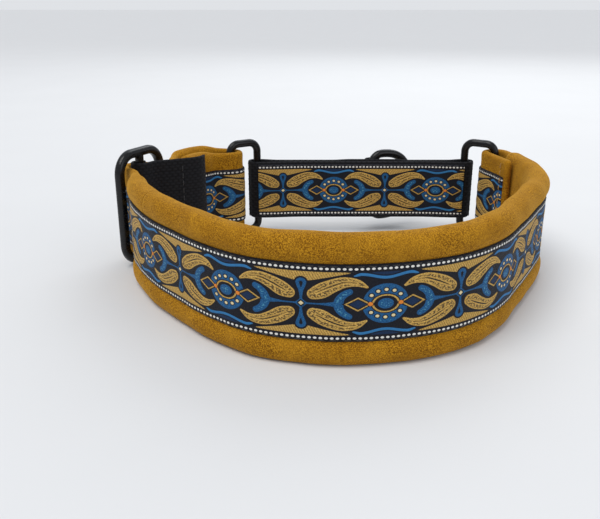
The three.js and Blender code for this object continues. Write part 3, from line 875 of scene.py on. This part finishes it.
def tube(name, path, flat, section, slot, closed=True):
    """Carries a section along a path of 3-D points in the upright plane whose normal is flat."""
    ahead = np.roll(path, -1, 0) - np.roll(path, 1, 0)
    if not closed:
        ahead[0], ahead[-1] = path[1] - path[0], path[-1] - path[-2]
    ahead /= np.linalg.norm(ahead, axis=1)[:, None]
    side = np.cross(ahead, flat)
    rings = path[:, None] + side[:, None] * section[None, :, :1] + flat * section[None, :, 1:]
    around = len(section)
    faces = ring_faces(len(path), around)
    last = (len(path) - 1) * around
    if closed:
        faces += [[last + j, last + (j + 1) % around, (j + 1) % around, j] for j in range(around)]
    else:
        faces += [list(range(around))[::-1], list(range(last, last + around))]
    piece = make_piece(name, rings.reshape(-1, 3), faces, slot)
    face_outward(piece)
    return piece


def face_outward(piece):
    mesh = bmesh.new()
    mesh.from_mesh(piece.data)
    bmesh.ops.recalc_face_normals(mesh, faces=mesh.faces)
    mesh.to_mesh(piece.data)
    mesh.free()


def rounded_section(width, depth, power, count=28):
    angle = np.arange(count) / count * TAU
    c, s = np.cos(angle), np.sin(angle)
    return np.stack([np.sign(c) * np.abs(c) ** (2 / power) * width / 2,
                     np.sign(s) * np.abs(s) ** (2 / power) * depth / 2], axis=1)


def rounded_rectangle(half_length, low, high, corner, per_corner=12, spacing=1.2):
    """Closed (along, up) path with round corners."""
    points = []
    right = [(half_length, low, -90), (half_length, high, 0)]
    left = [(-half_length, high, 90), (-half_length, low, 180)]
    for x, z, start in right + left:
        cx, cz = x - math.copysign(corner, x), (z + corner if z == low else z - corner)
        for k in range(per_corner + 1):
            a = math.radians(start + 90 * k / per_corner)
            points.append((cx + corner * math.cos(a), cz + corner * math.sin(a)))
    dense = []
    for here, there in zip(points, points[1:] + points[:1]):
        gap = math.dist(here, there)
        steps = max(1, int(gap / spacing))
        dense += [(here[0] + (there[0] - here[0]) * k / steps, here[1] + (there[1] - here[1]) * k / steps)
                  for k in range(steps)]
    return np.array(dense)


def stood_up(plan, centre, direction):
    """(along, up) points as 3-D points of an upright plane."""
    return np.column_stack([centre + plan[:, :1] * direction, plan[:, 1]])


def normal_of(direction):
    return np.array([-direction[1], direction[0], 0.0])


def rim(name, node, corner, squareness):
    """A rounded rectangle of bar, as large as its CAD node."""
    centre, direction, half, bar = flat_piece(node)
    low, high = node_box(node)
    plan = rounded_rectangle(half - bar / 2, low[2] + bar / 2, high[2] - bar / 2, corner - bar / 2)
    return tube(name, stood_up(plan, centre, direction), normal_of(direction),
                rounded_section(bar, bar, squareness), "black_enamel")


for ring in ("left_ring", "right_ring"):
    wire = rim(ring + "_wire", ring, RING_CORNER, 2.0)
    place_piece(wire, ring, ring)


def joined(base, *others):
    """Melts pieces into the first one as one closed body."""
    for other in others:
        cut = base.modifiers.new("join", "BOOLEAN")
        cut.operation = "UNION"
        cut.solver = "EXACT"
        cut.object = other
    bpy.context.view_layer.update()
    melted = bpy.data.meshes.new_from_object(base.evaluated_get(bpy.context.evaluated_depsgraph_get()))
    base.modifiers.clear()
    base.data = melted
    for other in others:
        bpy.data.objects.remove(other)
    melted.polygons.foreach_set("use_smooth", [True] * len(melted.polygons))
    return base


def slider_frame():
    node = "slider_frame"
    centre, direction, _, bar = flat_piece(node)
    low, high = node_box(node)
    upright = np.column_stack([np.zeros(30), np.linspace(low[2] + bar / 2, high[2] - bar / 2, 30)])
    centre_bar = tube("slider_bar", stood_up(upright, centre, direction), normal_of(direction),
                      rounded_section(bar * 0.94, bar * 0.94, 2.2), "black_enamel", closed=False)
    piece = joined(rim("slider_rim", node, SLIDER_CORNER, 2.6), centre_bar)
    place_piece(piece, "slider", node)


slider_frame()


# ---- slider tab ----
TAB_FLOOR_WIDTH = 0.87  # width of the CAD tab's flat lower face


def tab_line():
    """The tab's middle line, from its sewn end inside the collar."""
    middles = floor_stations("slider_tab", TAB_FLOOR_WIDTH)
    if middles[0][0] < middles[-1][0]:
        middles = middles[::-1]
    return Line(spaced(middles, 0.9), smoothing=0.8)


tab = tab_line()
tab_low, tab_high = node_box("slider_tab")
TAB_THICKNESS = 1.3
tab_strap = strap("slider_tab_webbing", tab, 0.0, tab.length, along_line, TAB_THICKNESS, tab_low[2],
                  tab_high[2] - tab_low[2], "black_webbing",
                  taper=[(0.0, 0.8, 0.35), (tab.length, 2.0, 0.3)])
place_piece(tab_strap, "slider", "slider_tab")
TAB_ROWS = {"tab_stitch_row_1": 1.6, "tab_stitch_row_12": 12.0}  # distances from the sewn end
for name, distance in TAB_ROWS.items():
    row = row_upright(name, tab, distance, -TAB_THICKNESS / 2 - 0.02, tab_low[2] + 2, tab_high[2] - 2,
                      "black_thread", side=-1)
    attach(row, "slider")
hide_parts("tab_stitching")


# ---- martingale loop ----
inner_low, inner_high = node_box("loop_web_inner")
WEB_THICKNESS = 1.4
loop_y = (inner_low[1] + inner_high[1]) / 2
outer_radius = (inner_high[1] - inner_low[1]) / 2
web_radius = outer_radius - WEB_THICKNESS / 2
left_bar = inner_low[0] + outer_radius
right_bar = inner_high[0] - outer_radius
web_base, web_height = inner_low[2], inner_high[2] - inner_low[2]
web_middle = web_base + web_height / 2
keeper_low, keeper_high = node_box("d_ring_keeper")
mid_low, mid_high = node_box("loop_web_middle")


def turn(x, start, end, radius=web_radius, step=10):
    angles = np.radians(np.arange(start, end + step / 2, step))
    return np.column_stack([x + radius * np.cos(angles), loop_y + radius * np.sin(angles)]).tolist()


def straight(x0, x1, y, dip, count=24):
    """Points from x0 to x1 that lean towards the loop's other side by dip between the ends."""
    t = np.linspace(0, 1, count + 1)[1:-1]
    lean = dip * smooth(t, 0.02, 0.22) * smooth(1 - t, 0.02, 0.22)
    return np.column_stack([x0 + (x1 - x0) * t, y + lean]).tolist()


LEAN = 1.5  # how far each straight bows towards the other one
LAP_OVER_MIDDLE = 0.8  # the arms start this far inside the middle web's ends
inner_y = loop_y - web_radius
outer_y = loop_y + web_radius
inner_line = Line(
    turn(left_bar, 150, 270) + straight(left_bar, right_bar, inner_y, LEAN) + turn(right_bar, -90, 30),
    smoothing=0.4)
left_start = [(mid_low[0] + LAP_OVER_MIDDLE, outer_y)]
right_start = [(mid_high[0] - LAP_OVER_MIDDLE, outer_y)]
left_arm_line = Line(
    left_start + straight(mid_low[0], left_bar, outer_y, -LEAN) + turn(left_bar, 90, 200), smoothing=0.4)
right_arm_line = Line(
    turn(right_bar, -20, 90) + straight(right_bar, mid_high[0], outer_y, -LEAN) + right_start, smoothing=0.4)
middle_line = Line([(mid_high[0], outer_y), (mid_low[0], outer_y)], smoothing=0)

LAP = web_radius * math.radians(60)  # length of the thinned end that lies under another web
inner_web = strap("loop_inner_webbing", inner_line, 0, inner_line.length, along_line, WEB_THICKNESS,
                  web_base, web_height, "black_webbing",
                  taper=[(0.0, LAP, 0.35), (inner_line.length, LAP, 0.35)])
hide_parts("loop_web_inner")
LOOP_PATTERN = inner_line.find((0.5 * (left_bar + right_bar) - 34.0, inner_y))
RIBBON_BACK = WEB_THICKNESS / 2 + 0.05
THREAD_SINK = 0.12  # how deep the loop's edge stitches sit in its ribbon
inner_ribbon = ribbon("loop_inner_ribbon", inner_line, inner_line.find((left_bar + 0.5, inner_y)),
                      inner_line.find((right_bar - 0.5, inner_y)), lambda s: s * 0 + RIBBON_BACK,
                      web_middle, LOOP_PATTERN)
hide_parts("loop_ribbon_inner")
edge_rows = (web_middle - RIBBON_HEIGHT / 2 + 0.55, web_middle + RIBBON_HEIGHT / 2 - 0.55)
inner_rows = row_along("loop_inner_stitching", inner_line, inner_line.find((left_bar + 1, inner_y)),
                       inner_line.find((right_bar - 1, inner_y)),
                       lambda s: s * 0 + RIBBON_BACK + RIBBON_THICKNESS - THREAD_SINK, edge_rows,
                       "black_thread")
for piece in (inner_web, inner_ribbon, inner_rows):
    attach(piece, "loop_inner")
    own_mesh(piece)


def loop_arm(side, line, tip, root, hinge, sleeve):
    """One outer arm: webbing, ribbon and stitching from the D-ring's stretch to its ring."""

    def centre(s):
        return 0.75 * smooth(np.abs(s - sleeve), LAP * 2.2, LAP * 1.0)

    web = strap(f"loop_{side}_webbing", line, 0, line.length, centre, WEB_THICKNESS, web_base, web_height,
                "black_webbing", taper=[(sleeve, 2.4, 0.25)])
    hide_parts(f"loop_web_{side}")
    low, high = sorted((line.find(tip), line.find(root)))
    face = ribbon(f"loop_{side}_ribbon", line, low, high, lambda s: RIBBON_BACK + centre(s),
                  web_middle, low + 9.0)
    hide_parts(f"loop_ribbon_{side}")
    rows = row_along(f"loop_{side}_stitching", line, low + 0.5, high - 0.5,
                     lambda s: RIBBON_BACK + centre(s) + RIBBON_THICKNESS - THREAD_SINK, edge_rows,
                     "black_thread")
    place = joint_place(hinge)[:2]
    away = np.array([-1.0 if side == "left" else 1.0, 0.0])
    follow([web, face, rows], place - away * 1.0, place + away * 7.0)


loop_arm("left", left_arm_line, (left_bar + 0.5, outer_y), (mid_low[0] - 0.5, outer_y),
         "left_arm_turn", left_arm_line.length)
loop_arm("right", right_arm_line, (right_bar - 0.5, outer_y), (mid_high[0] + 0.5, outer_y),
         "right_arm_turn", 0.0)

middle_web = strap("loop_middle_webbing", middle_line, 0.0, middle_line.length, along_line,
                   WEB_THICKNESS - 0.06, web_base, web_height, "black_webbing")
place_piece(middle_web, "loop_middle", "loop_web_middle")

# ---- D-ring and its keeper ----
D_BAR = joint_place("d_ring_swing")
KEEPER_THICKNESS = 1.2


def keeper():
    """Webbing folded over the D-ring's bar, sewn flat on both sides of it."""
    radius = keeper_high[1] - D_BAR[1] - KEEPER_THICKNESS / 2
    foot = keeper_low[1] + KEEPER_THICKNESS / 2
    reach = (keeper_high[0] - keeper_low[0]) / 2
    centre = (keeper_high[0] + keeper_low[0]) / 2
    arch = [(radius * math.cos(math.radians(a)), D_BAR[1] + radius * math.sin(math.radians(a)))
            for a in range(0, 181, 15)]
    side = [(reach, foot), (reach - 1.2, foot), (radius + 2.2, foot), (radius + 0.7, foot + 0.35)]
    points = side + arch + [(-x, y) for x, y in side[::-1]]
    line = Line([(centre + x, y) for x, y in points], smoothing=0.5)
    web = strap("d_ring_keeper_webbing", line, 0, line.length, along_line, KEEPER_THICKNESS,
                keeper_low[2], keeper_high[2] - keeper_low[2], "black_webbing",
                taper=[(0.0, 1.0, 0.4), (line.length, 1.0, 0.4)])
    place_piece(web, "loop_middle", "d_ring_keeper")
    for name, at in (("right", 1.5), ("left", line.length - 1.5)):
        row = row_upright(f"keeper_{name}_stitch_row", line, at, KEEPER_THICKNESS / 2, keeper_low[2] + 1,
                          keeper_high[2] - 1, "black_thread", length=1.9, pitch=2.4)
        place_piece(row, "loop_middle", f"keeper_stitching_{name}")


keeper()


def d_ring():
    node = "d_ring"
    _, direction, half_length, wire = flat_piece(node)
    low, high = node_box(node)
    half = (high[2] - low[2]) / 2 - wire / 2
    reach = 2 * half_length - wire
    corner = D_RING_CORNER
    flat = corner + 1.0
    quarter = [(corner - corner * math.cos(a), -half + corner - corner * math.sin(a))
               for a in np.radians(range(0, 91, 9))]
    t = np.linspace(0, 1, 24)[1:, None]
    pull = [np.array(p) for p in ((flat, -half), (reach - 2, -half), (reach, -half * 0.45), (reach, 0.0))]
    bow = (1 - t) ** 3 * pull[0] + 3 * (1 - t) ** 2 * t * pull[1]
    bow += 3 * (1 - t) * t**2 * pull[2] + t**3 * pull[3]
    bar = [(0.0, z) for z in np.linspace(-1.0, -half + corner + 0.6, 14)]
    lower = bar + quarter + [(flat, -half)] + bow.tolist()
    path = np.array(lower + [(x, -z) for x, z in lower[-2::-1]]) + [0.0, (low[2] + high[2]) / 2]
    piece = tube("d_ring_wire", stood_up(path, D_BAR[:2], direction), normal_of(direction),
                 rounded_section(wire, wire, 2.0), "black_enamel")
    place_piece(piece, "d_ring", node)


d_ring()


# ---- stage, light and camera, in metres ----
EYE_FROM_CENTRE = (-0.01156, -0.25274, 0.0751)
LOOK_DOWN = 19.72  # degrees
AMBIENT = (0.52, 0.55, 0.60)  # the light that comes from all round
BACKDROP = (0.745, 0.765, 0.795)  # what the camera sees beyond the floor


def floor():
    half = 9.0
    mesh = bpy.data.meshes.new("floor")
    mesh.from_pydata([(-half, -half, 0.0), (half, -half, 0.0), (half, half, 0.0), (-half, half, 0.0)], [],
                     [(0, 1, 2, 3)])
    m = Finish("pale_floor", 0.75)
    grain = m.noise(m.place(), 14.0, 4.0)
    m.set(Base_Color=m.mix(grain, (0.70, 0.70, 0.70), (0.73, 0.73, 0.73)))
    mesh.materials.append(m.material)
    piece = bpy.data.objects.new("floor", mesh)
    bpy.context.scene.collection.objects.link(piece)


def lamp(name, kind, place, power, tint, **settings):
    """A light aimed at the middle of the collar."""
    light = bpy.data.lights.new(name, kind)
    light.energy = power
    light.color = tint
    for key, value in settings.items():
        setattr(light, key, value)
    piece = bpy.data.objects.new(name, light)
    piece.location = place
    piece.rotation_euler = (Vector((0.0, 0.0, 0.02)) - Vector(place)).to_track_quat("-Z", "Y").to_euler()
    bpy.context.scene.collection.objects.link(piece)


def lighting():
    world = bpy.data.worlds.new("studio")
    world.use_nodes = True
    tree = world.node_tree
    seen = tree.nodes.new("ShaderNodeLightPath").outputs["Is Camera Ray"]
    tint = tree.nodes.new("ShaderNodeMix")
    tint.data_type = "RGBA"
    tint.inputs[6].default_value = (*AMBIENT, 1.0)
    tint.inputs[7].default_value = (*BACKDROP, 1.0)
    tree.links.new(seen, tint.inputs[0])
    tree.links.new(tint.outputs[2], tree.nodes["Background"].inputs[0])
    bpy.context.scene.world = world
    lamp("key", "SUN", (-0.35, -0.25, 0.95), 1.55, (1.0, 0.985, 0.96), angle=math.radians(38))
    lamp("fill", "AREA", (0.75, -0.65, 0.55), 2.0, (0.95, 0.97, 1.0), size=0.7)
    lamp("rim", "AREA", (0.25, 0.75, 0.75), 3.0, (0.95, 0.98, 1.0), size=0.7)


def camera():
    """Low in front of the collar, looking back and down over the near edge."""
    low, high = (np.array(corner) for corner in cad_box)
    centre = (low + high) / 2
    lens = bpy.data.cameras.new("camera")
    lens.lens = 43.2
    lens.sensor_width = 36.0
    lens.clip_start = 0.01
    eye = bpy.data.objects.new("camera", lens)
    eye.location = centre + np.array(EYE_FROM_CENTRE)
    eye.rotation_euler = (math.radians(90 - LOOK_DOWN), 0.0, 0.0)
    bpy.context.scene.collection.objects.link(eye)
    bpy.context.scene.camera = eye


floor()
lighting()
camera()
bpy.context.scene.view_settings.view_transform = "Standard"
